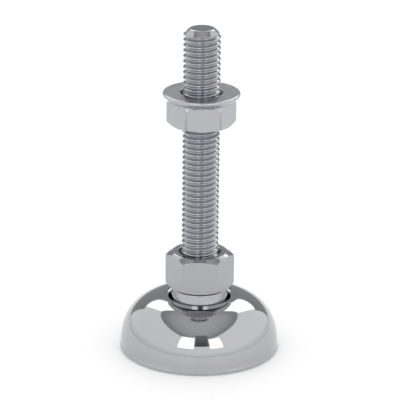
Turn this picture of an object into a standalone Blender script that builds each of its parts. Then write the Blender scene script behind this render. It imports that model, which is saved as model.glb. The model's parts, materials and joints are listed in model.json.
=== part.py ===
"""Machine levelling foot with a swivelling stud.

A pressed steel dome stands on a rubber pad. A ball with a collar looks out of the dome's
hole and tilts on a seat plate inside. The stud turns in the ball, carries a drive nut that is
locked to it, and a flange nut that runs along its thread and holds the machine.
Metres, +Z up, with the origin on the floor under the middle of the foot.
"""

import math

import bmesh
import bpy

# Fits
CLEARANCE = 0.0003              # between pieces that touch or turn in each other

# Dome, pressed from sheet steel
RIM_RADIUS = 0.02545            # outside of the bottom edge
RIM_BAND = 0.0007               # height of the slightly wider bottom edge
RIM_EDGE = 0.0002               # rounding of the bottom edge
WALL_RADIUS = 0.02522           # outside of the wall above the bottom edge
DOME_HEIGHT = 0.0170            # bottom edge to the top of the lip
DOME_WALL = 0.0022              # sheet thickness
SIDE_FULLNESS = 2.05            # superellipse exponents of the wall's outline
CROWN_FULLNESS = 2.40
HOLE_RADIUS = 0.0099            # hole that the collar looks out of
LIP_ROUNDING = 0.0010           # rolled upper edge of the hole
REGISTER_WALL = 0.0018          # wall left beside the bored seat of plate and pad

# Rubber pad
PAD_PROUD = 0.0005              # how far the pad stands below the dome's edge
PAD_THICKNESS = 0.0020
PAD_CHAMFER = 0.0004
PAD_GROOVES = 2                 # rings cut in the underside
GROOVE_WIDTH = 0.0016
GROOVE_DEPTH = 0.0009
GROOVE_PITCH = 0.0070

# Seat plate, under the ball
PLATE_THICKNESS = 0.0027
SEAT_FLOOR_DEPTH = 0.0065       # ball centre down to the flat inside the seat
SEAT_LIP_DEPTH = 0.0022         # ball centre down to the top of the seat
SEAT_WALL = 0.0023

# Swivel ball with its collar
BALL_RETENTION = 0.0009         # how much wider the ball is than the hole, on the radius
BALL_FOOT_DEPTH = 0.0050        # ball centre down to the flat underside
COLLAR_GAP = 0.00075            # collar to the side of the hole
COLLAR_NECK = 0.00075           # how much the collar draws in above the ball, on the radius
COLLAR_NECK_RISE = 0.0019       # height over which it draws in
COLLAR_RISE = 0.0030            # lip of the dome up to the top of the collar
COLLAR_EDGE = 0.0002
POCKET_WALL = 0.0020            # ball's underside left round the pocket for the ring
POCKET_DEPTH = 0.0030

# Thread of stud and nuts: M12, right-hand, coarse pitch
THREAD_RADIUS = 0.0059          # over the crests
THREAD_PITCH = 0.00175
THREAD_DEPTH = 0.00097          # crest to root, on the radius
CREST_WIDTH = 0.00022           # flat of the crest, along the axis
FLANK_ANGLE = math.radians(30.0)
FLANK_PLAY = 0.00022            # between the flanks of stud and nut, along the axis

# Stud
STUD_LENGTH = 0.0852            # threaded length, from the collar's side of the drive nut
END_CHAMFER = 0.0019
JOURNAL_STEP = 0.0002           # thread's root to the plain lower end that turns in the ball
JOURNAL_INSET = 0.0003          # journal's end above the ball's underside
JOURNAL_CHAMFER = 0.0004

# Retaining ring, sprung into the journal's groove
RING_THICKNESS = 0.0012
RING_WIDTH = 0.0024
RING_BITE = 0.0004              # how deep the ring reaches into the groove
RING_OPENING = 0.0050

# Drive nut and flange nut
ACROSS_FLATS = 0.0190
DRIVE_NUT_HEIGHT = 0.0117
FLANGE_NUT_HEIGHT = 0.0105
FLANGE_NUT_RISE = 0.0424        # top of the drive nut up to the flange nut
FLANGE_NUT_TURN = math.radians(4.0)
FLANGE_RADIUS = 0.0122
FLANGE_RIM = 0.0012             # thickness of the flange's rounded edge
FLANGE_DEPTH = 0.0025           # top face down to where the flange leaves the hexagon
FLANGE_FOOT_RADIUS = 0.0098     # flange where it leaves the hexagon
CORNER_CHAMFER = math.radians(30.0)
INNER_CORNER_CHAMFER = math.radians(20.0)
CHAMFER_INSET = 0.0003          # face circle inside the flats
COUNTERSINK_RADIUS = 0.0067

# Tool solids that cut and trim the others
TOOL_REACH = 0.0010             # how far a tool runs past what it cuts
TOOL_OFFSET = 0.00005           # keeps a tool's edge off a face that it would graze

# Roundness of the turned pieces
SEGMENTS = 36
SCREW_SEGMENTS = 16             # a turn of the thread
ARC_STEPS = 3
WALL_STEPS = 9
SHARP_EDGE = math.radians(35.0)
MERGE_DISTANCE = 1e-7

# Heights and radii that follow from the sizes above
RIM_Z = PAD_PROUD
LIP_Z = RIM_Z + DOME_HEIGHT
CROWN_Z = LIP_Z - DOME_WALL
BALL_RADIUS = HOLE_RADIUS + BALL_RETENTION
SOCKET_RADIUS = BALL_RADIUS + CLEARANCE
BALL_Z = CROWN_Z - math.sqrt(SOCKET_RADIUS**2 - HOLE_RADIUS**2)
PLATE_Z = PAD_THICKNESS + CLEARANCE
REGISTER_RADIUS = WALL_RADIUS - REGISTER_WALL
REGISTER_Z = PLATE_Z + PLATE_THICKNESS + CLEARANCE
COLLAR_RADIUS = HOLE_RADIUS - COLLAR_GAP
COLLAR_Z = LIP_Z + COLLAR_RISE
BALL_FOOT_Z = BALL_Z - BALL_FOOT_DEPTH
POCKET_Z = BALL_FOOT_Z + POCKET_DEPTH
DRIVE_NUT_Z = COLLAR_Z + CLEARANCE
FLANGE_NUT_Z = DRIVE_NUT_Z + DRIVE_NUT_HEIGHT + FLANGE_NUT_RISE
STUD_TOP_Z = DRIVE_NUT_Z + STUD_LENGTH
ROOT_RADIUS = THREAD_RADIUS - THREAD_DEPTH
JOURNAL_RADIUS = ROOT_RADIUS - JOURNAL_STEP
CORNER_RADIUS = ACROSS_FLATS / math.sqrt(3.0)
FACE_CIRCLE = ACROSS_FLATS / 2 - CHAMFER_INSET


def clear_scene():
    """Empty the file, so that only the foot is in it."""
    for thing in list(bpy.data.objects):
        bpy.data.objects.remove(thing, do_unlink=True)


def finish(name, colour, metallic, roughness):
    """A Principled material of one colour."""
    material = bpy.data.materials.new(name)
    material.use_nodes = True
    shader = material.node_tree.nodes["Principled BSDF"]
    shader.inputs["Base Color"].default_value = (*colour, 1.0)
    shader.inputs["Metallic"].default_value = metallic
    shader.inputs["Roughness"].default_value = roughness
    return material


def arc(radius, height, size, start, end, steps=ARC_STEPS):
    """Points of a circular arc in the outline's plane, from one angle in degrees to another."""
    angles = [math.radians(start + (end - start) * i / steps) for i in range(steps + 1)]
    return [(radius + size * math.cos(a), height + size * math.sin(a)) for a in angles]


def wall_curve(inner, outer, low, high, steps=WALL_STEPS):
    """A quarter superellipse that rises from (outer, low) and flattens out at (inner, high)."""
    angles = [math.pi / 2 * i / steps for i in range(steps + 1)]
    across = [max(math.cos(a), 0.0) ** (2.0 / SIDE_FULLNESS) for a in angles]
    along = [math.sin(a) ** (2.0 / CROWN_FULLNESS) for a in angles]
    return [
        (inner + (outer - inner) * u, low + (high - low) * v)
        for u, v in zip(across, along)
    ]


def link(name, mesh, height, material=None, parent=None):
    """Put a mesh into the scene as one object, its origin on the foot's axis at a height."""
    thing = bpy.data.objects.new(name, mesh)
    bpy.context.scene.collection.objects.link(thing)
    thing.location.z = height
    if parent is not None:
        thing.parent = parent
        thing.location.z = height - parent.location.z
    if material is not None:
        mesh.materials.append(material)
    return thing


def mesh_of(name, bm):
    """Close a bmesh into a mesh, shaded smooth but for its sharp edges."""
    bmesh.ops.recalc_face_normals(bm, faces=bm.faces)
    mesh = bpy.data.meshes.new(name)
    bm.to_mesh(mesh)
    bm.free()
    mesh.shade_smooth()
    mesh.set_sharp_from_angle(angle=SHARP_EDGE)
    return mesh


def turned_mesh(name, outline, height, segments=SEGMENTS):
    """Spin an outline of (radius, height) points once round the foot's axis.

    An outline that starts on the axis ends there too, and any other closes on itself.
    """
    bm = bmesh.new()
    verts = [bm.verts.new((r, 0.0, z - height)) for r, z in outline]
    pairs = list(zip(verts, verts[1:]))
    if outline[0][0] > 0.0:
        pairs.append((verts[-1], verts[0]))
    edges = [bm.edges.new(pair) for pair in pairs]
    bmesh.ops.spin(
        bm,
        geom=verts + edges,
        cent=(0.0, 0.0, 0.0),
        axis=(0.0, 0.0, 1.0),
        angle=math.tau,
        steps=segments,
        use_merge=True,
    )
    bmesh.ops.remove_doubles(bm, verts=bm.verts, dist=MERGE_DISTANCE)
    bmesh.ops.dissolve_degenerate(bm, edges=bm.edges, dist=MERGE_DISTANCE)
    return mesh_of(name, bm)


def thread_profile(play=0.0, flank_play=0.0):
    """One pitch of the thread as (radius, rise) points round the crest's middle.

    The plays widen it for the tool that cuts a nut's thread: outwards on crest and root, and
    along the axis on both flanks.
    """
    slope = math.tan(FLANK_ANGLE)
    crest_half = CREST_WIDTH / 2 + flank_play - play * slope
    root_half = crest_half + THREAD_DEPTH * slope
    crest = THREAD_RADIUS + play
    root = ROOT_RADIUS + play
    return [(root, -root_half), (crest, -crest_half), (crest, crest_half), (root, root_half)]


def screw_mesh(name, profile, low, high, height):
    """Wind a profile that is one pitch high round the axis, past both heights by a pitch.

    A column of points stands at each angle, and rises by the pitch over one turn, so the last
    column meets the first one a pitch further up. Heights count from the frame's origin, which
    puts every thread in step. Both ends are closed by a fan round a point on the axis.
    """
    first = math.floor(low / THREAD_PITCH) - 1
    last = math.ceil(high / THREAD_PITCH) + 1
    rows = [(r, turn * THREAD_PITCH + z) for turn in range(first, last + 1) for r, z in profile]
    bm = bmesh.new()
    columns = []
    for step in range(SCREW_SEGMENTS):
        share = step / SCREW_SEGMENTS
        across, along = math.cos(math.tau * share), math.sin(math.tau * share)
        lift = THREAD_PITCH * share - height
        columns.append([bm.verts.new((r * across, r * along, z + lift)) for r, z in rows])
    lift = THREAD_PITCH - height
    beyond = [bm.verts.new((r, 0.0, z + lift)) for r, z in rows[-len(profile):]]
    columns.append(columns[0][len(profile):] + beyond)
    for left, right in zip(columns, columns[1:]):
        for pair in zip(left, left[1:], right, right[1:]):
            bm.faces.new((pair[0], pair[2], pair[3], pair[1]))
    foot = [column[0] for column in columns] + columns[0][len(profile) - 1::-1]
    top = [column[-1] for column in columns] + beyond[-2::-1] + [columns[0][-1]]
    for rim, end in ((foot, rows[0][1]), (top, rows[-1][1])):
        hub = bm.verts.new((0.0, 0.0, end + THREAD_PITCH / 2 - height))
        for one, other in zip(rim, rim[1:]):
            bm.faces.new((hub, one, other))
    return mesh_of(name, bm)


def hexagon_mesh(name, low, high, height, turn=0.0):
    """A hexagonal bar with a flat towards -Y, turned about the axis by an angle."""
    bm = bmesh.new()
    angles = [turn + math.radians(60.0 * i) for i in range(6)]
    ring = [
        bm.verts.new((CORNER_RADIUS * math.cos(a), CORNER_RADIUS * math.sin(a), low - height))
        for a in angles
    ]
    face = bm.faces.new(ring)
    raised = bmesh.ops.extrude_face_region(bm, geom=[face])["geom"]
    tops = [item for item in raised if isinstance(item, bmesh.types.BMVert)]
    bmesh.ops.translate(bm, verts=tops, vec=(0.0, 0.0, high - low))
    return mesh_of(name, bm)


def shape_with(body, operation, tool):
    """Cut, join or trim a body with a hidden tool solid."""
    tool.hide_render = True
    tool.display_type = "WIRE"
    step = body.modifiers.new(tool.name, "BOOLEAN")
    step.operation = operation
    step.object = tool
    step.solver = "EXACT"


def make_dome(material):
    """Pressed cup: rolled lip round the hole, full shoulders, and a bored seat at the bottom."""
    outside = [(REGISTER_RADIUS, RIM_Z)]
    outside += arc(RIM_RADIUS - RIM_EDGE, RIM_Z + RIM_EDGE, RIM_EDGE, -90.0, 0.0, 2)
    outside.append((RIM_RADIUS, RIM_Z + RIM_BAND / 2))
    lip_start = HOLE_RADIUS + LIP_ROUNDING
    outside += wall_curve(lip_start, WALL_RADIUS, RIM_Z + RIM_BAND, LIP_Z)
    outside += arc(lip_start, LIP_Z - LIP_ROUNDING, LIP_ROUNDING, 90.0, 180.0)[1:]
    inside = wall_curve(HOLE_RADIUS, WALL_RADIUS - DOME_WALL, REGISTER_Z, CROWN_Z)
    outline = outside + inside[::-1] + [(REGISTER_RADIUS, REGISTER_Z)]
    return link("base_dome", turned_mesh("base_dome", outline, 0.0), 0.0, material)


def make_pad(material):
    """Rubber disc in the dome's seat, with rings cut in its underside."""
    radius = REGISTER_RADIUS - CLEARANCE
    underside = [(0.0, 0.0)]
    for ring in range(PAD_GROOVES):
        inner = GROOVE_PITCH * (ring + 1)
        outer = inner + GROOVE_WIDTH
        underside += [(inner, 0.0), (inner, GROOVE_DEPTH), (outer, GROOVE_DEPTH), (outer, 0.0)]
    edge = [(radius - PAD_CHAMFER, 0.0), (radius, PAD_CHAMFER)]
    top = [(radius, PAD_THICKNESS), (0.0, PAD_THICKNESS)]
    outline = underside + edge + top
    return link("rubber_pad", turned_mesh("rubber_pad", outline, 0.0), 0.0, material)


def make_seat_plate(material):
    """Steel disc on the pad with a raised ring, hollowed to the ball's shape."""
    floor_radius = math.sqrt(SOCKET_RADIUS**2 - SEAT_FLOOR_DEPTH**2)
    lip_radius = math.sqrt(SOCKET_RADIUS**2 - SEAT_LIP_DEPTH**2)
    start = math.degrees(math.atan2(-SEAT_FLOOR_DEPTH, floor_radius))
    end = math.degrees(math.atan2(-SEAT_LIP_DEPTH, lip_radius))
    plate_top = PLATE_Z + PLATE_THICKNESS
    ring_radius = lip_radius + SEAT_WALL
    radius = REGISTER_RADIUS - CLEARANCE
    outline = [(0.0, BALL_Z - SEAT_FLOOR_DEPTH)]
    outline += arc(0.0, BALL_Z, SOCKET_RADIUS, start, end)
    outline += [(ring_radius, BALL_Z - SEAT_LIP_DEPTH), (ring_radius, plate_top)]
    outline += [(radius, plate_top), (radius, PLATE_Z), (0.0, PLATE_Z)]
    mesh = turned_mesh("seat_plate", outline, PLATE_Z)
    return link("seat_plate", mesh, PLATE_Z, material)


def make_ball(material, pivot):
    """Turned ball with a drawn-in neck, a collar, a bore for the journal and a pocket below."""
    neck_radius = COLLAR_RADIUS - COLLAR_NECK
    foot_radius = math.sqrt(BALL_RADIUS**2 - BALL_FOOT_DEPTH**2)
    neck_rise = math.sqrt(BALL_RADIUS**2 - neck_radius**2)
    start = math.degrees(math.atan2(-BALL_FOOT_DEPTH, foot_radius))
    end = math.degrees(math.atan2(neck_rise, neck_radius))
    bore = JOURNAL_RADIUS + CLEARANCE
    pocket = foot_radius - POCKET_WALL
    neck_z = BALL_Z + neck_rise
    outline = [(pocket, BALL_FOOT_Z)]
    outline += arc(0.0, BALL_Z, BALL_RADIUS, start, end, 2 * ARC_STEPS)
    for step in range(1, ARC_STEPS + 1):
        share = step / ARC_STEPS
        swell = math.sin(share * math.pi / 2)
        outline.append((neck_radius + COLLAR_NECK * swell, neck_z + COLLAR_NECK_RISE * share))
    outline.append((COLLAR_RADIUS, COLLAR_Z - COLLAR_EDGE))
    outline.append((COLLAR_RADIUS - COLLAR_EDGE, COLLAR_Z))
    outline += [(bore, COLLAR_Z), (bore, POCKET_Z), (pocket, POCKET_Z)]
    mesh = turned_mesh("swivel_ball", outline, BALL_Z)
    return link("swivel_ball", mesh, BALL_Z, material, pivot)


def ring_place():
    """Heights of the retaining ring's underside and top, just below the pocket's ceiling."""
    top = POCKET_Z - CLEARANCE
    return top - RING_THICKNESS, top


def make_stud(material, pivot):
    """Threaded rod with a chamfered end, a plain journal below and the ring's groove."""
    rod = screw_mesh("stud", thread_profile(), DRIVE_NUT_Z, STUD_TOP_Z, DRIVE_NUT_Z)
    stud = link("stud", rod, DRIVE_NUT_Z, material, pivot)
    wide = THREAD_RADIUS + TOOL_REACH
    blank = [(0.0, DRIVE_NUT_Z), (wide, DRIVE_NUT_Z)]
    blank += [(wide, STUD_TOP_Z - END_CHAMFER - TOOL_REACH)]
    blank += [(THREAD_RADIUS - END_CHAMFER, STUD_TOP_Z), (0.0, STUD_TOP_Z)]
    ends = turned_mesh("stud_ends", blank, DRIVE_NUT_Z)
    shape_with(stud, "INTERSECT", link("stud_ends", ends, DRIVE_NUT_Z, None, pivot))
    low, high = ring_place()
    groove_radius = JOURNAL_RADIUS - RING_BITE - CLEARANCE
    foot = BALL_FOOT_Z + JOURNAL_INSET
    inside = DRIVE_NUT_Z + TOOL_REACH
    outline = [(0.0, foot), (JOURNAL_RADIUS - JOURNAL_CHAMFER, foot)]
    outline += [(JOURNAL_RADIUS, foot + JOURNAL_CHAMFER), (JOURNAL_RADIUS, low - CLEARANCE)]
    outline += [(groove_radius, low - CLEARANCE), (groove_radius, high + CLEARANCE)]
    outline += [(JOURNAL_RADIUS, high + CLEARANCE), (JOURNAL_RADIUS, inside), (0.0, inside)]
    journal = turned_mesh("stud_journal", outline, DRIVE_NUT_Z)
    shape_with(stud, "UNION", link("stud_journal", journal, DRIVE_NUT_Z, None, pivot))
    return stud


def make_ring(material, pivot):
    """Spring ring, open at the back, that holds the journal in the ball."""
    low, high = ring_place()
    inner = JOURNAL_RADIUS - RING_BITE
    outer = inner + RING_WIDTH
    outline = [(inner, low), (outer, low), (outer, high), (inner, high)]
    ring = link("retaining_ring", turned_mesh("retaining_ring", outline, low), low, material, pivot)
    depth = outer + TOOL_REACH
    bm = bmesh.new()
    bmesh.ops.create_cube(bm, size=1.0)
    size = (RING_OPENING, depth, RING_THICKNESS + 2 * TOOL_REACH)
    bmesh.ops.scale(bm, verts=bm.verts, vec=size)
    bmesh.ops.translate(bm, verts=bm.verts, vec=(0.0, depth / 2, RING_THICKNESS / 2))
    gap = link("ring_opening", mesh_of("ring_opening", bm), low, None, pivot)
    shape_with(ring, "DIFFERENCE", gap)
    return ring


def chamfer_rise(angle):
    """Height that a chamfer cone climbs from the face circle to past the hexagon's corners."""
    return (CORNER_RADIUS + TOOL_REACH - FACE_CIRCLE) * math.tan(angle)


def tap(nut, low, high, pivot):
    """Cut the thread through a nut, opened out at both ends by a countersink."""
    outer = COUNTERSINK_RADIUS + TOOL_REACH
    depth = COUNTERSINK_RADIUS - JOURNAL_RADIUS
    outline = [(0.0, low - TOOL_REACH), (outer, low - TOOL_REACH)]
    outline += [(JOURNAL_RADIUS, low + depth), (JOURNAL_RADIUS, high - depth)]
    outline += [(outer, high + TOOL_REACH), (0.0, high + TOOL_REACH)]
    name = nut.name + "_countersinks"
    shape_with(nut, "DIFFERENCE", link(name, turned_mesh(name, outline, low), low, None, pivot))
    name = nut.name + "_thread"
    screw = screw_mesh(name, thread_profile(CLEARANCE, FLANK_PLAY), low, high, low)
    shape_with(nut, "DIFFERENCE", link(name, screw, low, None, pivot))


def make_drive_nut(material, pivot):
    """Hexagon nut locked on the stud above the collar, chamfered at both ends."""
    low = DRIVE_NUT_Z
    high = low + DRIVE_NUT_HEIGHT
    rise = chamfer_rise(CORNER_CHAMFER)
    wide = CORNER_RADIUS + TOOL_REACH
    outline = [(0.0, low), (FACE_CIRCLE, low), (wide, low + rise), (wide, high - rise)]
    outline += [(FACE_CIRCLE, high), (0.0, high)]
    bar = hexagon_mesh("drive_nut", low - TOOL_REACH, high + TOOL_REACH, low)
    nut = link("drive_nut", bar, low, material, pivot)
    ends = link("drive_nut_ends", turned_mesh("drive_nut_ends", outline, low), low, None, pivot)
    shape_with(nut, "INTERSECT", ends)
    tap(nut, low, high, pivot)
    return nut


def tangent_angle(point, centre, radius):
    """Angle in degrees at which a line from a point below and inside touches a circle."""
    across, along = point[0] - centre[0], point[1] - centre[1]
    turn = math.acos(radius / math.hypot(across, along))
    return math.degrees(math.atan2(along, across) + turn)


def make_flange_nut(material, pivot):
    """Hexagon nut with a conical flange on top, forged in one piece."""
    low = FLANGE_NUT_Z
    high = low + FLANGE_NUT_HEIGHT
    shoulder = high - FLANGE_DEPTH
    rise = chamfer_rise(CORNER_CHAMFER)
    inner_rise = chamfer_rise(INNER_CORNER_CHAMFER)
    wide = CORNER_RADIUS + TOOL_REACH
    inside = high - FLANGE_RIM
    outline = [(0.0, low), (FACE_CIRCLE, low), (wide, low + rise), (wide, shoulder - inner_rise)]
    outline += [(FACE_CIRCLE, shoulder - TOOL_OFFSET), (FACE_CIRCLE, inside), (0.0, inside)]
    bar = hexagon_mesh("flange_nut", low - TOOL_REACH, high, low, FLANGE_NUT_TURN)
    nut = link("flange_nut", bar, low, material, pivot)
    ends = link("flange_nut_ends", turned_mesh("flange_nut_ends", outline, low), low, None, pivot)
    shape_with(nut, "INTERSECT", ends)
    rounding = FLANGE_RIM / 2
    centre = (FLANGE_RADIUS - rounding, high - rounding)
    foot = (FLANGE_FOOT_RADIUS, shoulder)
    start = tangent_angle(foot, centre, rounding)
    disc = [(0.0, shoulder), foot] + arc(*centre, rounding, start, 90.0) + [(0.0, high)]
    flange = link("flange_disc", turned_mesh("flange_disc", disc, low), low, None, pivot)
    shape_with(nut, "UNION", flange)
    tap(nut, low, high, pivot)
    return nut


def make_pivot():
    """The ball's centre, about which the stud and all that it carries tilts."""
    pivot = bpy.data.objects.new("swivel_centre", None)
    bpy.context.scene.collection.objects.link(pivot)
    pivot.location.z = BALL_Z
    return pivot


def make_foot():
    """Every piece of the foot, in the order in which it goes together."""
    chrome = finish("chrome_plate", (0.62, 0.62, 0.63), 1.0, 0.08)
    zinc = finish("zinc_plate", (0.46, 0.46, 0.48), 1.0, 0.28)
    steel = finish("plain_steel", (0.30, 0.30, 0.31), 1.0, 0.40)
    spring_steel = finish("spring_steel", (0.10, 0.10, 0.11), 1.0, 0.45)
    rubber = finish("black_rubber", (0.015, 0.015, 0.016), 0.0, 0.80)
    pivot = make_pivot()
    make_dome(chrome)
    make_ball(zinc, pivot)
    make_stud(zinc, pivot)
    make_ring(spring_steel, pivot)
    make_seat_plate(steel)
    make_pad(rubber)
    make_drive_nut(zinc, pivot)
    make_flange_nut(zinc, pivot)


clear_scene()
make_foot()
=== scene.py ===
"""Looks of a machine levelling foot: a chromed dome, a ball-jointed stud and its two nuts.

Metres, +Z up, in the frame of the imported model. One section for each piece of the foot, from
the floor upwards, and then the studio.
"""

import json
import math

import bmesh
import bpy
import numpy as np
from mathutils import Matrix, Vector


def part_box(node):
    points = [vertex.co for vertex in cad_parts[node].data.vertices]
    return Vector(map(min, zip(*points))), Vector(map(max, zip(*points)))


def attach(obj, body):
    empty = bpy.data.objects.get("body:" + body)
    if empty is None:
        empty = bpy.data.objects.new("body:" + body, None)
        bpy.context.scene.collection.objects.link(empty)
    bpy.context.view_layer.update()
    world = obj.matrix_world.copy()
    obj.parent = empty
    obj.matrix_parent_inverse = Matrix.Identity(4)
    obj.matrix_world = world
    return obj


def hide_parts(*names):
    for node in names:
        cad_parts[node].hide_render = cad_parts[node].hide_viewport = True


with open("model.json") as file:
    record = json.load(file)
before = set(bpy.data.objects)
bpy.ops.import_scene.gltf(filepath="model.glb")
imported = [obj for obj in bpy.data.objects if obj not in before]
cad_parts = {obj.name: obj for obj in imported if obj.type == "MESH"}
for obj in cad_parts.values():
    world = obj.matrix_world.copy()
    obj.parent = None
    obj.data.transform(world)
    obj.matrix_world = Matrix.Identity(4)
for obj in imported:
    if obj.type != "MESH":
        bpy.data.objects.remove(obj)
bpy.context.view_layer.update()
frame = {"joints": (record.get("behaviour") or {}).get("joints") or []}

# Base dome: a cup pressed from steel sheet of 2.2 mm, with the edge of its hole rolled over to
# a lip, ground, polished and plated with bright chrome.
MM = 0.001
RIM_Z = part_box("base_dome")[0].z
LIP_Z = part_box("base_dome")[1].z
RIM_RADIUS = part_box("base_dome")[1].x
RIM_BAND = 0.7 * MM             # height of the slightly wider bottom edge
WALL_RADIUS = 25.22 * MM
DOME_WALL = 2.2 * MM
RIM_FLARE = 1.4 * MM            # height over which the wall widens to the rim
SIDE_FULLNESS = 2.05            # superellipse exponents of the wall's outline
CROWN_FULLNESS = 2.40
HOLE_RADIUS = 9.9 * MM
LIP_ROUNDING = 0.7 * MM
REGISTER_RADIUS = WALL_RADIUS - 1.8 * MM  # the pad's bored seat, and how high it goes
REGISTER_Z = 5.3 * MM
CROWN_Z = LIP_Z - DOME_WALL
EDGE_ROUNDING = 0.15 * MM       # broken edges of the cut sheet
WALL_STEPS = 72
LIP_STEPS = 9
DOME_ANGLES = np.linspace(0.0, math.tau, 289)
MERGE_DISTANCE = 1e-7


def rounded(corners, angles, steps=5):
    """Round the corners of a closed outline, and give it as radii and heights, rows by angles.

    Each corner is (radius, height, rounding), plain numbers or one for each angle. It gives
    way to a parabola between points a rounding's length along both sides: corner plus
    before (1-t)^2 plus after t^2. One more point on each side keeps the flats flat.
    """
    table = np.array([np.broadcast_arrays(*corner, angles)[:3] for corner in corners])
    place, reach = table[:, :2], table[:, 2]
    after = np.roll(place, -1, axis=0) - place
    side = np.linalg.norm(after, axis=1)
    after = after / np.maximum(side, 1e-12)[:, None]
    before = -np.roll(after, 1, axis=0)
    room = np.maximum(side - reach - np.roll(reach, -1, axis=0), 0.0)
    beyond = reach + np.minimum(0.5 * reach, 0.3 * room)
    ahead = reach + np.minimum(0.5 * reach, 0.3 * np.roll(room, 1, axis=0))
    share = np.linspace(0.0, 1.0, steps)[:, None, None]
    nothing = np.zeros_like(reach)[None]
    back = np.concatenate([ahead[None], reach * (1.0 - share) ** 2, nothing])
    forth = np.concatenate([nothing, reach * share**2, beyond[None]])
    points = place + back[:, :, None] * before + forth[:, :, None] * after
    rows = np.moveaxis(points, 0, 1).reshape(-1, 2, len(angles))
    moved = np.abs(np.diff(rows, axis=0)).max(axis=(1, 2)) > MERGE_DISTANCE
    rows = rows[np.concatenate([[True], moved])]
    return rows[:, 0], rows[:, 1]


def surface(name, radius, height, angles, caps=()):
    """Close a grid of points in cylinder coordinates into a solid's mesh.

    x = r cos a, y = r sin a, z = h, with a quad between each four neighbours, and the last row
    joined to the first. Points that meet at the seam and on the axis are merged.
    """
    points = np.stack([radius * np.cos(angles), radius * np.sin(angles), height], axis=-1)
    index = np.arange(radius.size).reshape(radius.shape)
    index = np.vstack([index, index[:1]])
    quads = np.stack([index[:-1, :-1], index[:-1, 1:], index[1:, 1:], index[1:, :-1]], axis=-1)
    ends = [index[:-1, column].tolist() for column in caps]
    mesh = bpy.data.meshes.new(name)
    mesh.from_pydata(points.reshape(-1, 3).tolist(), [], quads.reshape(-1, 4).tolist() + ends)
    bm = bmesh.new()
    bm.from_mesh(mesh)
    bmesh.ops.remove_doubles(bm, verts=bm.verts, dist=MERGE_DISTANCE)
    bmesh.ops.recalc_face_normals(bm, faces=bm.faces)
    bm.to_mesh(mesh)
    bm.free()
    mesh.shade_smooth()
    return mesh


def superellipse(inner, outer, low, high):
    """A quarter superellipse from (outer, low) up to (inner, high).

    Across is cos a to the power 2 / side fullness, along is sin a to 2 / crown fullness.
    """
    turn = np.linspace(0.0, math.pi / 2, WALL_STEPS)
    across = np.maximum(np.cos(turn), 0.0) ** (2.0 / SIDE_FULLNESS)
    along = np.sin(turn) ** (2.0 / CROWN_FULLNESS)
    return list(zip(inner + (outer - inner) * across, low + (high - low) * along, 0.0 * turn))


def piece_of(name, mesh, material):
    """Put a mesh into the scene as one piece, at the origin, with its material."""
    piece = bpy.data.objects.new(name, mesh)
    bpy.context.scene.collection.objects.link(piece)
    mesh.materials.append(material)
    return piece


def linear(code):
    """An sRGB colour written as hex, as linear red, green, blue and alpha."""
    srgb = np.array([int(code[i:i + 2], 16) for i in (1, 3, 5)]) / 255.0
    light = np.where(srgb <= 0.04045, srgb / 12.92, ((srgb + 0.055) / 1.055) ** 2.4)
    return (*light.tolist(), 1.0)


def add(tree, kind, sockets=None, **settings):
    """Add a shader node. Its sockets take values or what feeds them, its settings values."""
    node = tree.nodes.new("ShaderNode" + kind)
    for name, value in settings.items():
        setattr(node, name, value)
    for key, value in (sockets or {}).items():
        if isinstance(value, bpy.types.NodeSocket):
            tree.links.new(value, node.inputs[key])
        else:
            node.inputs[key].default_value = value
    return node


def new_material(name, colour, metallic, roughness):
    """A Principled material of one colour, and its node tree and shader for the finish."""
    material = bpy.data.materials.new(name)
    material.use_nodes = True
    shader = material.node_tree.nodes["Principled BSDF"]
    shader.inputs["Base Color"].default_value = linear(colour)
    shader.inputs["Metallic"].default_value = metallic
    shader.inputs["Roughness"].default_value = roughness
    return material, material.node_tree, shader


# Bright chrome on polished steel: a mirror, a little greyer than the studio it shows, with a
# faint haze from polishing and a faint waviness of the pressed sheet under it.
chrome_plate, tree, shader = new_material("chrome_plate", "#AEB0B3", 1.0, 0.05)
place = add(tree, "TexCoord")
haze = add(tree, "TexNoise", {
    "Vector": place.outputs["Object"], "Scale": 1.0 / (7.0 * MM), "Detail": 4.0,
})
veil = add(tree, "MapRange", {
    "Value": haze.outputs["Fac"], "From Min": 0.35, "From Max": 0.7, "To Min": 0.03, "To Max": 0.08,
})
tree.links.new(veil.outputs["Result"], shader.inputs["Roughness"])
wave = add(tree, "TexNoise", {
    "Vector": place.outputs["Object"], "Scale": 1.0 / (6.0 * MM), "Detail": 1.0,
})
bump = add(tree, "Bump", {"Height": wave.outputs["Fac"], "Strength": 1.0, "Distance": 0.004 * MM})
tree.links.new(bump.outputs["Normal"], shader.inputs["Normal"])

# The outline runs from the pad's seat out over the rim, up the wall, round the lip, and back
# down the inside.
outline = [
    (REGISTER_RADIUS, RIM_Z, EDGE_ROUNDING),
    (RIM_RADIUS, RIM_Z, EDGE_ROUNDING),
    (RIM_RADIUS, RIM_Z + RIM_BAND / 2, EDGE_ROUNDING),
    (WALL_RADIUS, RIM_Z + RIM_FLARE, EDGE_ROUNDING),
]
wall = superellipse(HOLE_RADIUS + LIP_ROUNDING, WALL_RADIUS, RIM_Z + RIM_BAND, LIP_Z)
outline += [corner for corner in wall[:-1] if corner[1] > RIM_Z + RIM_FLARE + EDGE_ROUNDING]
outline.append((HOLE_RADIUS, LIP_Z, LIP_ROUNDING))
outline.append((HOLE_RADIUS, CROWN_Z, EDGE_ROUNDING))
outline += superellipse(HOLE_RADIUS, WALL_RADIUS - DOME_WALL, REGISTER_Z, CROWN_Z)[-2::-1]
outline.append((REGISTER_RADIUS, REGISTER_Z, EDGE_ROUNDING))
radius, height = rounded(outline, DOME_ANGLES, LIP_STEPS)
dome = piece_of(
    "chromed_dome", surface("chromed_dome", radius, height, DOME_ANGLES), chrome_plate
)
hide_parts("base_dome")
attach(dome, "base")

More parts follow.
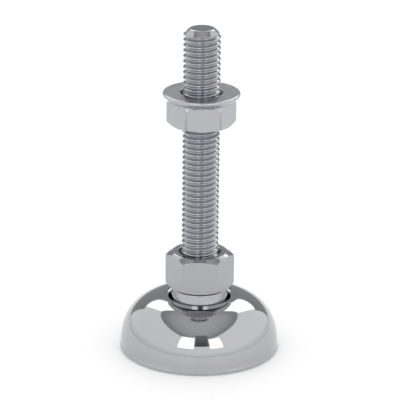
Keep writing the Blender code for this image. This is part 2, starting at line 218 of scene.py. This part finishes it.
# Rubber pad: a disc moulded from black rubber, pressed into the dome's bored seat. It stands
# half a millimetre proud, with two grooves in its underside that drain and grip.
PAD_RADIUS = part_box("rubber_pad")[1].x
PAD_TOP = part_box("rubber_pad")[1].z
PAD_CHAMFER = 0.4 * MM
GROOVE_PITCH = 7.0 * MM
GROOVE_WIDTH = 1.6 * MM
GROOVE_DEPTH = 0.9 * MM
PAD_ROUNDING = 0.2 * MM
TURNED_ANGLES = np.linspace(0.0, math.tau, 193)

# Moulded black rubber: dull, very slightly bloomed, with the fine grain of a blasted mould.
black_rubber, tree, shader = new_material("moulded_black_rubber", "#1C1C1D", 0.0, 0.8)
place = add(tree, "TexCoord")
bloom = add(tree, "TexNoise", {
    "Vector": place.outputs["Object"], "Scale": 1.0 / (9.0 * MM), "Detail": 5.0,
})
tint = add(tree, "Mix", {
    0: bloom.outputs["Fac"], 6: linear("#161617"), 7: linear("#2A2A2B"),
}, data_type="RGBA")
tree.links.new(tint.outputs[2], shader.inputs["Base Color"])
grain = add(tree, "TexNoise", {
    "Vector": place.outputs["Object"], "Scale": 1.0 / (0.25 * MM), "Detail": 2.0,
})
bump = add(tree, "Bump", {"Height": grain.outputs["Fac"], "Strength": 0.5, "Distance": 0.04 * MM})
tree.links.new(bump.outputs["Normal"], shader.inputs["Normal"])

outline = [(0.0, 0.0, 0.0)]
for inner in (GROOVE_PITCH, 2 * GROOVE_PITCH):
    outer = inner + GROOVE_WIDTH
    outline += [(inner, 0.0, PAD_ROUNDING), (inner, GROOVE_DEPTH, PAD_ROUNDING)]
    outline += [(outer, GROOVE_DEPTH, PAD_ROUNDING), (outer, 0.0, PAD_ROUNDING)]
outline += [
    (PAD_RADIUS - PAD_CHAMFER, 0.0, PAD_ROUNDING),
    (PAD_RADIUS, PAD_CHAMFER, PAD_ROUNDING),
    (PAD_RADIUS, PAD_TOP, PAD_ROUNDING),
    (0.0, PAD_TOP, 0.0),
]
radius, height = rounded(outline, TURNED_ANGLES)
pad = piece_of(
    "moulded_pad", surface("moulded_pad", radius, height, TURNED_ANGLES), black_rubber
)
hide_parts("rubber_pad")
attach(pad, "base")

# Seat plate: a turned steel disc on the pad, hollowed to the ball's shape, that spreads the
# load over the pad and lets the ball swivel.
PLATE_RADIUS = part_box("seat_plate")[1].x
PLATE_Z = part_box("seat_plate")[0].z
PLATE_TOP = PLATE_Z + 2.7 * MM
SEAT_LIP_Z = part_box("seat_plate")[1].z
SEAT_WALL = 2.3 * MM
BALL_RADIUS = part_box("swivel_ball")[1].x
SOCKET_RADIUS = BALL_RADIUS + 0.3 * MM
BALL_Z = frame["joints"][1]["pos_m"][2]
SEAT_FLOOR_Z = BALL_Z - 6.5 * MM
SEAT_ROUNDING = 0.2 * MM


def ball_arc(size, low, high, steps=24):
    """Points of a circle round the ball's centre between two heights: r = sqrt(size^2 - h^2)."""
    start, end = math.asin((low - BALL_Z) / size), math.asin((high - BALL_Z) / size)
    turn = np.linspace(start, end, steps)
    return list(zip(size * np.cos(turn), BALL_Z + size * np.sin(turn), 0.0 * turn))


def away_from_axis(tree, place):
    """The distance of each point from the upright axis, the length of (x, y, 0), as a socket."""
    across = add(tree, "VectorMath", {
        0: place.outputs["Object"], 1: (1.0, 1.0, 0.0),
    }, operation="MULTIPLY")
    return add(tree, "VectorMath", {0: across.outputs[0]}, operation="LENGTH").outputs["Value"]


# Plain turned steel under a film of oil: darker than the plated parts, with turning rings
# drawn coarser than the real 0.1 mm feed so that they show.
plain_steel, tree, shader = new_material("oiled_turned_steel", "#8C8D90", 1.0, 0.32)
place = add(tree, "TexCoord")
axes = add(tree, "SeparateXYZ", {0: place.outputs["Object"]})
ring_place = add(tree, "CombineXYZ", {"X": away_from_axis(tree, place), "Z": axes.outputs["Z"]})
rings = add(tree, "TexNoise", {
    "Vector": ring_place.outputs[0], "Scale": 1.0 / (0.25 * MM), "Detail": 2.0,
})
bump = add(tree, "Bump", {"Height": rings.outputs["Fac"], "Strength": 0.4, "Distance": 0.01 * MM})
tree.links.new(bump.outputs["Normal"], shader.inputs["Normal"])

seat_arc = ball_arc(SOCKET_RADIUS, SEAT_FLOOR_Z, SEAT_LIP_Z)
ring_radius = seat_arc[-1][0] + SEAT_WALL
outline = [(0.0, SEAT_FLOOR_Z, 0.0)] + seat_arc + [
    (ring_radius, SEAT_LIP_Z, SEAT_ROUNDING),
    (ring_radius, PLATE_TOP, SEAT_ROUNDING),
    (PLATE_RADIUS, PLATE_TOP, SEAT_ROUNDING),
    (PLATE_RADIUS, PLATE_Z, SEAT_ROUNDING),
    (0.0, PLATE_Z, 0.0),
]
radius, height = rounded(outline, TURNED_ANGLES)
seat = piece_of("turned_seat", surface("turned_seat", radius, height, TURNED_ANGLES), plain_steel)
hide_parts("seat_plate")
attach(seat, "seat")

# Swivel ball: turned from steel bar with its collar in one piece, and zinc plated. The ball
# sits under the dome's lip, and the collar looks out of the hole and carries the drive nut.
BALL_FOOT_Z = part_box("swivel_ball")[0].z
COLLAR_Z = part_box("swivel_ball")[1].z
COLLAR_RADIUS = HOLE_RADIUS - 1.0 * MM    # it just clears the lip at the stud's full tilt
COLLAR_ROUNDING = 0.25 * MM
JOURNAL_RADIUS = 4.73 * MM
BORE_RADIUS = JOURNAL_RADIUS + 0.3 * MM
POCKET_RADIUS = math.sqrt(BALL_RADIUS**2 - (BALL_Z - BALL_FOOT_Z) ** 2) - 2.0 * MM
POCKET_Z = BALL_FOOT_Z + 3.0 * MM


def zinc_on_steel(name, colour, turned, drawn, feed, depth):
    """Bright zinc plate on steel, with one roughness for turned faces and one for drawn ones.

    Upright faces are drawn and the others turned. Level faces also have fine rings that follow
    the distance from the axis. The feed is their spacing, a little coarser than a lathe's so
    that they show, and the depth their height. A soft mottle of the plating changes the gloss.
    """
    material, tree, shader = new_material(name, colour, 1.0, drawn)
    place = add(tree, "TexCoord")
    facing = add(tree, "SeparateXYZ", {0: place.outputs["Normal"]})
    facing = add(tree, "Math", {0: facing.outputs["Z"]}, operation="ABSOLUTE")
    ring_place = add(tree, "CombineXYZ", {"X": away_from_axis(tree, place)})
    rings = add(tree, "TexNoise", {
        "Vector": ring_place.outputs[0], "Scale": 1.0 / feed, "Detail": 2.0,
    })
    mottle = add(tree, "TexNoise", {
        "Vector": place.outputs["Object"], "Scale": 1.0 / (2.5 * MM), "Detail": 3.0,
    })
    patch = add(tree, "MapRange", {
        "Value": mottle.outputs["Fac"], "From Min": 0.3, "From Max": 0.7,
        "To Min": -0.03, "To Max": 0.03,
    })
    finish = add(tree, "MapRange", {
        "Value": facing.outputs[0], "From Min": 0.15, "From Max": 0.5,
        "To Min": drawn, "To Max": turned,
    })
    gloss = add(tree, "Math", {0: finish.outputs["Result"], 1: patch.outputs["Result"]})
    tree.links.new(gloss.outputs[0], shader.inputs["Roughness"])
    ringed = add(tree, "MapRange", {"Value": facing.outputs[0], "From Min": 0.9, "From Max": 0.99})
    bump = add(tree, "Bump", {
        "Height": rings.outputs["Fac"], "Strength": ringed.outputs["Result"], "Distance": depth,
    })
    tree.links.new(bump.outputs["Normal"], shader.inputs["Normal"])
    return material


# Bright zinc on a finely turned surface: clear but soft reflections.
turned_zinc = zinc_on_steel("zinc_on_turned_steel", "#B0B2B6", 0.1, 0.1, 0.18 * MM, 0.002 * MM)

neck_z = BALL_Z + math.sqrt(BALL_RADIUS**2 - COLLAR_RADIUS**2)
outline = [(POCKET_RADIUS, BALL_FOOT_Z, SEAT_ROUNDING)]
outline += ball_arc(BALL_RADIUS, BALL_FOOT_Z, neck_z)
outline += [
    (COLLAR_RADIUS, COLLAR_Z, COLLAR_ROUNDING),
    (BORE_RADIUS, COLLAR_Z, COLLAR_ROUNDING),
    (BORE_RADIUS, POCKET_Z, COLLAR_ROUNDING / 2),
    (POCKET_RADIUS, POCKET_Z, COLLAR_ROUNDING / 2),
]
radius, height = rounded(outline, TURNED_ANGLES)
ball = piece_of("turned_ball", surface("turned_ball", radius, height, TURNED_ANGLES), turned_zinc)
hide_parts("swivel_ball")
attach(ball, "ball")

# Stud: M12 rod with a right-hand thread rolled into it, its end chamfered on the lathe, and a
# plain journal below that turns in the ball.
THREAD_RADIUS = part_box("stud")[1].x
THREAD_PITCH = 1.75 * MM
THREAD_DEPTH = 0.97 * MM
THREAD_STEPS = 14               # rows to a pitch
END_EDGE = 0.18 * MM            # softness of the turned edge round the end face
STUD_FOOT_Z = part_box("stud")[0].z
STUD_TOP_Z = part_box("stud")[1].z
DRIVE_NUT_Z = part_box("drive_nut")[0].z
END_CHAMFER = 1.9 * MM
JOURNAL_CHAMFER = 0.4 * MM
RING_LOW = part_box("retaining_ring")[0].z
RING_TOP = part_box("retaining_ring")[1].z
RING_BITE = 0.4 * MM            # how deep the ring sits in the journal
GROOVE_PLAY = 0.3 * MM          # room for the ring in its groove
STUD_ANGLES = np.linspace(0.0, math.tau, 81)


def thread_rows(low, high, angles, play):
    """Wind the thread's outline round the axis, past both heights, as radii and heights.

    A rolled thread is round at crest and root: its radius is the crest's less half its depth
    times (1 - cos 2 pi t), t pitches along. That is steepest at 30 degrees from level, as a
    60 degree thread's flanks are. At an angle a it stands pitch times a / 360 degrees higher,
    so that the rows join up a pitch further on.
    """
    first, last = math.floor(low / THREAD_PITCH) - 2, math.ceil(high / THREAD_PITCH) + 3
    turns = np.arange(first, last, 1.0 / THREAD_STEPS)[:, None]
    wave = 0.5 * THREAD_DEPTH * (1.0 - np.cos(math.tau * turns))
    radius = THREAD_RADIUS + play - wave + 0.0 * angles
    return radius, THREAD_PITCH * (turns + angles / math.tau)


# Bright zinc on a rolled thread: smooth from the rolling dies, so that each turn shows clear
# streaks of light.
rolled_zinc = zinc_on_steel("zinc_on_rolled_steel", "#A8AAAE", 0.11, 0.11, 0.2 * MM, 0.001 * MM)

# Rows that would stand above the end run in across its face instead, with a soft edge, and
# those near it give way to the chamfer. Rows below the drive nut's foot fall on the journal.
radius, raw = thread_rows(DRIVE_NUT_Z, STUD_TOP_Z, STUD_ANGLES, 0.0)
beyond = raw - STUD_TOP_Z
height = STUD_TOP_Z - END_EDGE * np.logaddexp(0.0, -beyond / END_EDGE)
height = np.maximum(height, DRIVE_NUT_Z)
radius = np.minimum(radius, np.maximum(THREAD_RADIUS - END_CHAMFER - beyond, 0.0))
radius = np.where(raw < DRIVE_NUT_Z, JOURNAL_RADIUS, radius)
groove_radius = JOURNAL_RADIUS - RING_BITE - GROOVE_PLAY
outline = [
    (0.0, STUD_TOP_Z, 0.0),
    (0.0, STUD_FOOT_Z, 0.0),
    (JOURNAL_RADIUS - JOURNAL_CHAMFER, STUD_FOOT_Z, COLLAR_ROUNDING / 2),
    (JOURNAL_RADIUS, STUD_FOOT_Z + JOURNAL_CHAMFER, COLLAR_ROUNDING / 2),
    (JOURNAL_RADIUS, RING_LOW - GROOVE_PLAY, COLLAR_ROUNDING / 2),
    (groove_radius, RING_LOW - GROOVE_PLAY, COLLAR_ROUNDING / 2),
    (groove_radius, RING_TOP + GROOVE_PLAY, COLLAR_ROUNDING / 2),
    (JOURNAL_RADIUS, RING_TOP + GROOVE_PLAY, COLLAR_ROUNDING / 2),
    (JOURNAL_RADIUS, DRIVE_NUT_Z, 0.0),
]
plain_radius, plain_height = rounded(outline, STUD_ANGLES)
radius = np.concatenate([plain_radius, radius])
height = np.concatenate([plain_height, height])
stud = piece_of("threaded_stud", surface("threaded_stud", radius, height, STUD_ANGLES), rolled_zinc)
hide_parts("stud")
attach(stud, "stud")

# Retaining ring: an open ring of blackened spring steel, sprung into the journal's groove so
# that the stud can't be drawn out of the ball.
RING_INNER = JOURNAL_RADIUS - RING_BITE
RING_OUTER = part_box("retaining_ring")[1].x
RING_OPENING = 5.0 * MM
RING_ROUNDING = 0.12 * MM
RING_SHARES = np.linspace(0.0, 1.0, 97)

# Blackened spring steel: almost black, satin, with the oil of the blacking in its grain.
spring_steel, tree, shader = new_material("blackened_spring_steel", "#3A3A3D", 1.0, 0.42)
place = add(tree, "TexCoord")
cloud = add(tree, "TexNoise", {
    "Vector": place.outputs["Object"], "Scale": 1.0 / (0.8 * MM), "Detail": 4.0,
})
gloss = add(tree, "MapRange", {
    "Value": cloud.outputs["Fac"], "From Min": 0.3, "From Max": 0.7, "To Min": 0.34, "To Max": 0.52,
})
tree.links.new(gloss.outputs["Result"], shader.inputs["Roughness"])

outline = [
    (r, z, RING_ROUNDING)
    for r, z in (
        (RING_INNER, RING_LOW), (RING_OUTER, RING_LOW),
        (RING_OUTER, RING_TOP), (RING_INNER, RING_TOP),
    )
]
radius, height = rounded(outline, RING_SHARES)
opening = np.arcsin(RING_OPENING / 2 / radius)
angles = math.pi / 2 + opening + RING_SHARES * (math.tau - 2 * opening)
snap_ring = piece_of(
    "snap_ring", surface("snap_ring", radius, height, angles, caps=(0, -1)), spring_steel
)
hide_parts("retaining_ring")
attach(snap_ring, "stud")

# Drive nut: a hexagon of 19 mm across flats, cut from drawn bar, chamfered at both ends, run
# down the stud and locked on it, so that a spanner turns both.
ACROSS_FLATS = 19.0 * MM
CORNER_SHARPNESS = 150.0        # power that leaves the hexagon's corners rounded by 0.3 mm
FACE_CIRCLE = ACROSS_FLATS / 2 - 0.3 * MM
TOP_CIRCLE = ACROSS_FLATS / 2 - 1.0 * MM
CORNER_CHAMFER = math.tan(math.radians(30.0))
COUNTERSINK_RADIUS = 6.8 * MM
COUNTERSINK_SLOPE = 4.0         # depth for each millimetre of radius
DRIVE_NUT_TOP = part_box("drive_nut")[1].z
NUT_PLAY = 0.3 * MM
NUT_ROUNDING = 0.12 * MM
SECTOR_STEPS = 36


def hexagon_angles(turn):
    """Angles round a hexagon, packed closely at its corners: 30 degrees times u/4 + 3 u^3 / 4."""
    u = np.linspace(-1.0, 1.0, SECTOR_STEPS, endpoint=False)
    sector = math.radians(30.0) * (0.25 * u + 0.75 * u**3)
    corners = turn + np.radians(60.0 * np.arange(6))
    angles = (corners[:, None] + sector).ravel()
    return np.append(angles, angles[0] + math.tau)


def hexagon_radius(angles, turn):
    """Distance from the axis to the flats, half the width over a power mean of their cosines."""
    flats = turn + np.radians(60.0 * np.arange(6) + 30.0)
    cosines = np.maximum(np.cos(angles - flats[:, None]), 0.0)
    return ACROSS_FLATS / 2 / (cosines**CORNER_SHARPNESS).sum(axis=0) ** (1.0 / CORNER_SHARPNESS)


def nut_mesh(name, outside, low, high, angles):
    """Close an outside and the tapped hole inside it, which opens to a countersink at each end.

    The hole's radius is the greater of the thread's and of the countersinks' cones.
    """
    outer_radius, outer_height = rounded(outside, angles)
    radius, raw = thread_rows(low, high, angles, NUT_PLAY)
    height = np.clip(raw, low, high)
    cones = COUNTERSINK_RADIUS - np.minimum(height - low, high - height) / COUNTERSINK_SLOPE
    radius = np.maximum(radius, cones)
    radius = np.concatenate([outer_radius, radius])
    height = np.concatenate([outer_height, height])
    return surface(name, radius, height, angles)


# Bright zinc on drawn and faced steel: satin, with fine rings on the faced ends.
faced_zinc = zinc_on_steel("zinc_on_faced_steel", "#ACADB1", 0.14, 0.36, 0.22 * MM, 0.003 * MM)

low, high = DRIVE_NUT_Z, DRIVE_NUT_TOP
angles = hexagon_angles(0.0)
flat = hexagon_radius(angles, 0.0)
drop = (flat - FACE_CIRCLE) * CORNER_CHAMFER
top_drop = (flat - TOP_CIRCLE) * CORNER_CHAMFER
outside = [
    (COUNTERSINK_RADIUS, high, 0.0),
    (COUNTERSINK_RADIUS + NUT_ROUNDING, high, 0.0),
    (TOP_CIRCLE, high, NUT_ROUNDING),
    (flat, high - top_drop, NUT_ROUNDING),
    (flat, low + drop, NUT_ROUNDING),
    (FACE_CIRCLE, low, NUT_ROUNDING),
    (COUNTERSINK_RADIUS + NUT_ROUNDING, low, 0.0),
    (COUNTERSINK_RADIUS, low, 0.0),
]
drive_nut = piece_of("lower_nut", nut_mesh("lower_nut", outside, low, high, angles), faced_zinc)
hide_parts("drive_nut")
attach(drive_nut, "stud")

# Flange nut: forged with its flange in one piece, then faced, tapped and zinc plated. The
# machine rests on the flange, and the nut rides up and down on the turning stud.
FLANGE_NUT_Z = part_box("flange_nut")[0].z
FLANGE_NUT_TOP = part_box("flange_nut")[1].z
FLANGE_NUT_TURN = math.radians(4.0)
FLANGE_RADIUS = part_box("flange_nut")[1].x
FLANGE_RIM = 1.2 * MM
FLANGE_SHOULDER_Z = FLANGE_NUT_TOP - 2.5 * MM
FLANGE_FOOT_RADIUS = 10.4 * MM
FLANGE_FOOT_ROUNDING = 0.1 * MM
FOOT_DROP = 0.25 * MM           # how far a flat's middle starts below the flange's foot

# Bright zinc on forged steel: satin like the drive nut, a little lighter and softer. Its colour
# has painted shade along the hexagon's corners, darker towards the nut's lower end.
FORGED_COLOUR = "#B4B6BA"
CORNER_SHADE_COLOUR = "#95979B"
forged_zinc = zinc_on_steel("zinc_on_forged_steel", FORGED_COLOUR, 0.25, 0.36, 0.3 * MM, 0.002 * MM)

tree = forged_zinc.node_tree
shader = tree.nodes["Principled BSDF"]
place = add(tree, "TexCoord")
axes = add(tree, "SeparateXYZ", {0: place.outputs["Object"]})
angle = add(tree, "Math", {0: axes.outputs["Y"], 1: axes.outputs["X"]}, operation="ARCTAN2")
sixfold = add(tree, "Math", {
    0: angle.outputs[0], 1: 6.0, 2: -6.0 * FLANGE_NUT_TURN,
}, operation="MULTIPLY_ADD")
wave = add(tree, "Math", {0: sixfold.outputs[0]}, operation="COSINE")
corner = add(tree, "MapRange", {"Value": wave.outputs[0], "From Min": 0.96, "From Max": 0.998})
lower = add(tree, "MapRange", {
    "Value": axes.outputs["Z"], "From Min": FLANGE_NUT_Z, "From Max": FLANGE_SHOULDER_Z,
    "To Min": 1.0, "To Max": 0.0,
})
# Painted shade: the corner colour darkens the hexagon's corners, most at the nut's lower end.
corner_shade = add(tree, "Math", {0: corner.outputs[0], 1: lower.outputs[0]}, operation="MULTIPLY")
tint = add(tree, "Mix", {
    0: corner_shade.outputs[0], 6: linear(FORGED_COLOUR), 7: linear(CORNER_SHADE_COLOUR),
}, data_type="RGBA")
tree.links.new(tint.outputs[2], shader.inputs["Base Color"])

low, high = FLANGE_NUT_Z, FLANGE_NUT_TOP
angles = hexagon_angles(FLANGE_NUT_TURN)
flat = hexagon_radius(angles, FLANGE_NUT_TURN)
drop = (flat - FACE_CIRCLE) * CORNER_CHAMFER
foot_drop = FOOT_DROP + (flat - flat.min()) * CORNER_CHAMFER

# The flange's rim is half round, and runs on in the tangent from its circle to the flange's
# foot. Touch is the angle of that tangent's point on the circle.
half_rim = FLANGE_RIM / 2
across = FLANGE_FOOT_RADIUS - (FLANGE_RADIUS - half_rim)
along = FLANGE_SHOULDER_Z - (high - half_rim)
touch = math.atan2(along, across) + math.acos(half_rim / math.hypot(across, along))
rim_corner = half_rim * math.tan(-touch / 2)

outside = [
    (COUNTERSINK_RADIUS, high, 0.0),
    (COUNTERSINK_RADIUS + NUT_ROUNDING, high, 0.0),
    (FLANGE_RADIUS, high, half_rim),
    (FLANGE_RADIUS, high - half_rim - rim_corner, rim_corner),
    (FLANGE_FOOT_RADIUS, FLANGE_SHOULDER_Z, FLANGE_FOOT_ROUNDING),
    (flat, FLANGE_SHOULDER_Z - foot_drop, FLANGE_FOOT_ROUNDING),
    (flat, low + drop, NUT_ROUNDING),
    (FACE_CIRCLE, low, NUT_ROUNDING),
    (COUNTERSINK_RADIUS + NUT_ROUNDING, low, 0.0),
    (COUNTERSINK_RADIUS, low, 0.0),
]
flange_nut = piece_of("upper_nut", nut_mesh("upper_nut", outside, low, high, angles), forged_zinc)
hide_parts("flange_nut")
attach(flange_nut, "nut")

# Floor: a wide matt white table that the foot stands on. It keeps the foot's soft shadow.
FLOOR_HALF = 0.45
FLOOR_LIFT = 0.19               # light of its own that makes the unshaded floor plain white

floor_mesh = bpy.data.meshes.new("floor")
corners = np.array([(-1.0, -1.0, 0.0), (1.0, -1.0, 0.0), (1.0, 1.0, 0.0), (-1.0, 1.0, 0.0)])
floor_mesh.from_pydata((FLOOR_HALF * corners).tolist(), [], [(0, 1, 2, 3)])
white_table, tree, shader = new_material("matt_white_table", "#EFEFEF", 0.0, 0.6)
path = add(tree, "LightPath")
seen = add(tree, "Math", {0: path.outputs["Is Camera Ray"], 1: path.outputs["Is Glossy Ray"]})
seen = add(tree, "Math", {0: seen.outputs[0], 1: path.outputs["Is Transmission Ray"]})
lift = add(tree, "Math", {0: seen.outputs[0], 1: FLOOR_LIFT}, operation="MULTIPLY")
shader.inputs["Emission Color"].default_value = linear("#FFFFFF")
tree.links.new(lift.outputs[0], shader.inputs["Emission Strength"])
floor = piece_of("floor", floor_mesh, white_table)

# Studio: a white tent with a grey ceiling, two softboxes in front and two behind, a dark gap
# between the front ones where the camera stands, and a dark end behind the foot. Metal and
# glass see all of it, and the camera and dull surfaces get its plain white.
PLAIN_LEVEL = 1.0
LEFT_LEVEL = 1.155              # brightness of the side walls
RIGHT_LEVEL = 1.225
TENT_SLOPES = (1.50, 0.86, 0.0)  # slopes up to the ceiling's edge, sideways and lengthways
STUDIO_LEVELS = (               # degrees up, where the ceiling's edge is 45, and brightness
    (0.0, 0.80), (3.0, 0.84), (8.0, 1.0), (44.5, 1.0), (45.5, 0.32), (50.0, 0.37), (56.0, 0.48),
    (62.0, 0.53), (70.0, 0.57), (90.0, 0.61),
)

# Each panel's azimuth from and to, where 0 is the front and 90 the right, its elevation from and
# to, and its brightness at the foot and at the top.
PANELS = (
    (-7.0, 16.5, 25.0, 55.0, 0.10, 0.28),     # dark gap where the camera stands
    (-33.0, -8.0, 19.0, 48.0, 2.6, 2.6),      # softboxes in front
    (17.0, 37.5, 19.0, 44.0, 2.6, 2.6),
    (-184.0, -144.0, 2.0, 27.0, 0.40, 0.38),  # dark end behind the foot, in two halves
    (144.0, 184.0, 2.0, 26.0, 0.40, 0.38),
    (-176.0, -150.0, 27.0, 46.0, 2.6, 2.6),   # softboxes behind
    (146.0, 174.0, 25.0, 46.0, 2.6, 2.6),
)
PANEL_EDGE = math.radians(1.0)  # half the width over which a panel's edge fades

world = bpy.data.worlds.new("studio")
bpy.context.scene.world = world
world.use_nodes = True
tree = world.node_tree
tree.nodes.clear()
place = add(tree, "TexCoord")
axes = add(tree, "SeparateXYZ", {0: place.outputs["Generated"]})
front = add(tree, "Math", {0: axes.outputs["Y"], 1: -1.0}, operation="MULTIPLY")
azimuth = add(tree, "Math", {0: axes.outputs["X"], 1: front.outputs[0]}, operation="ARCTAN2")
elevation = add(tree, "Math", {0: axes.outputs["Z"]}, operation="ARCSINE")
oval = add(tree, "VectorMath", {
    0: place.outputs["Generated"], 1: TENT_SLOPES,
}, operation="MULTIPLY")
oval = add(tree, "VectorMath", {0: oval.outputs[0]}, operation="LENGTH")
rise = add(tree, "Math", {0: axes.outputs["Z"], 1: oval.outputs["Value"]}, operation="ARCTAN2")
rise = add(tree, "Math", {0: rise.outputs[0], 1: math.radians(90.0)}, operation="DIVIDE")
ramp = add(tree, "ValToRGB", {"Fac": rise.outputs[0]})
stops = ramp.color_ramp.elements
for angle, _ in STUDIO_LEVELS[1:-1]:
    stops.new(angle / 90.0)
for stop, (angle, level) in zip(stops, STUDIO_LEVELS):
    stop.color = (level, level, level, 1.0)
side = add(tree, "MapRange", {
    "Value": axes.outputs["X"], "From Min": -1.0, "From Max": 1.0,
    "To Min": LEFT_LEVEL, "To Max": RIGHT_LEVEL,
})
studio = add(tree, "VectorMath", {
    0: ramp.outputs["Color"], "Scale": side.outputs["Result"],
}, operation="SCALE").outputs[0]
for start, end, low, high, foot_level, top_level in PANELS:
    masks = []
    for angle, one, other in ((azimuth, start, end), (elevation, low, high)):
        middle, half = math.radians((one + other) / 2), math.radians((other - one) / 2)
        off = add(tree, "Math", {0: angle.outputs[0], 1: middle}, operation="SUBTRACT")
        off = add(tree, "Math", {0: off.outputs[0]}, operation="ABSOLUTE")
        masks.append(add(tree, "MapRange", {
            "Value": off.outputs[0], "From Min": half - PANEL_EDGE, "From Max": half + PANEL_EDGE,
            "To Min": 1.0, "To Max": 0.0,
        }, interpolation_type="SMOOTHSTEP"))
    cover = add(tree, "Math", {
        0: masks[0].outputs["Result"], 1: masks[1].outputs["Result"],
    }, operation="MULTIPLY")
    level = add(tree, "MapRange", {
        "Value": elevation.outputs[0], "From Min": math.radians(low),
        "From Max": math.radians(high), "To Min": foot_level, "To Max": top_level,
    })
    studio = add(tree, "Mix", {
        0: cover.outputs[0], 6: studio, 7: level.outputs["Result"],
    }, data_type="RGBA", clamp_factor=True).outputs[2]
path = add(tree, "LightPath")
seen = add(tree, "Math", {0: path.outputs["Is Glossy Ray"], 1: path.outputs["Is Transmission Ray"]})
view = add(tree, "Mix", {0: seen.outputs[0], 6: linear("#FFFFFF"), 7: studio}, data_type="RGBA")
light = add(tree, "Background", {"Color": view.outputs[2], "Strength": PLAIN_LEVEL})
add(tree, "OutputWorld", {"Surface": light.outputs[0]})

# Camera: a long lens, a little above the foot, held very slightly out of level.
CAMERA_DISTANCE = 0.8293
CAMERA_ANGLE = math.radians(19.65)
CAMERA_AIM = Vector((-0.00014, 0.0, 0.0496))
CAMERA_LEAN = math.radians(0.6)
LENS = 236.25

camera_data = bpy.data.cameras.new("camera")
camera_data.lens = LENS
camera_data.sensor_width = 36.0
camera_data.clip_start = 0.05
camera_data.clip_end = 50.0
camera = bpy.data.objects.new("camera", camera_data)
bpy.context.scene.collection.objects.link(camera)
back = Vector((0.0, -math.cos(CAMERA_ANGLE), math.sin(CAMERA_ANGLE)))
camera.matrix_world = (
    Matrix.Translation(CAMERA_AIM + CAMERA_DISTANCE * back)
    @ back.to_track_quat("Z", "Y").to_matrix().to_4x4()
    @ Matrix.Rotation(CAMERA_LEAN, 4, "Z")
)
bpy.context.scene.camera = camera
bpy.context.scene.view_settings.view_transform = "Standard"
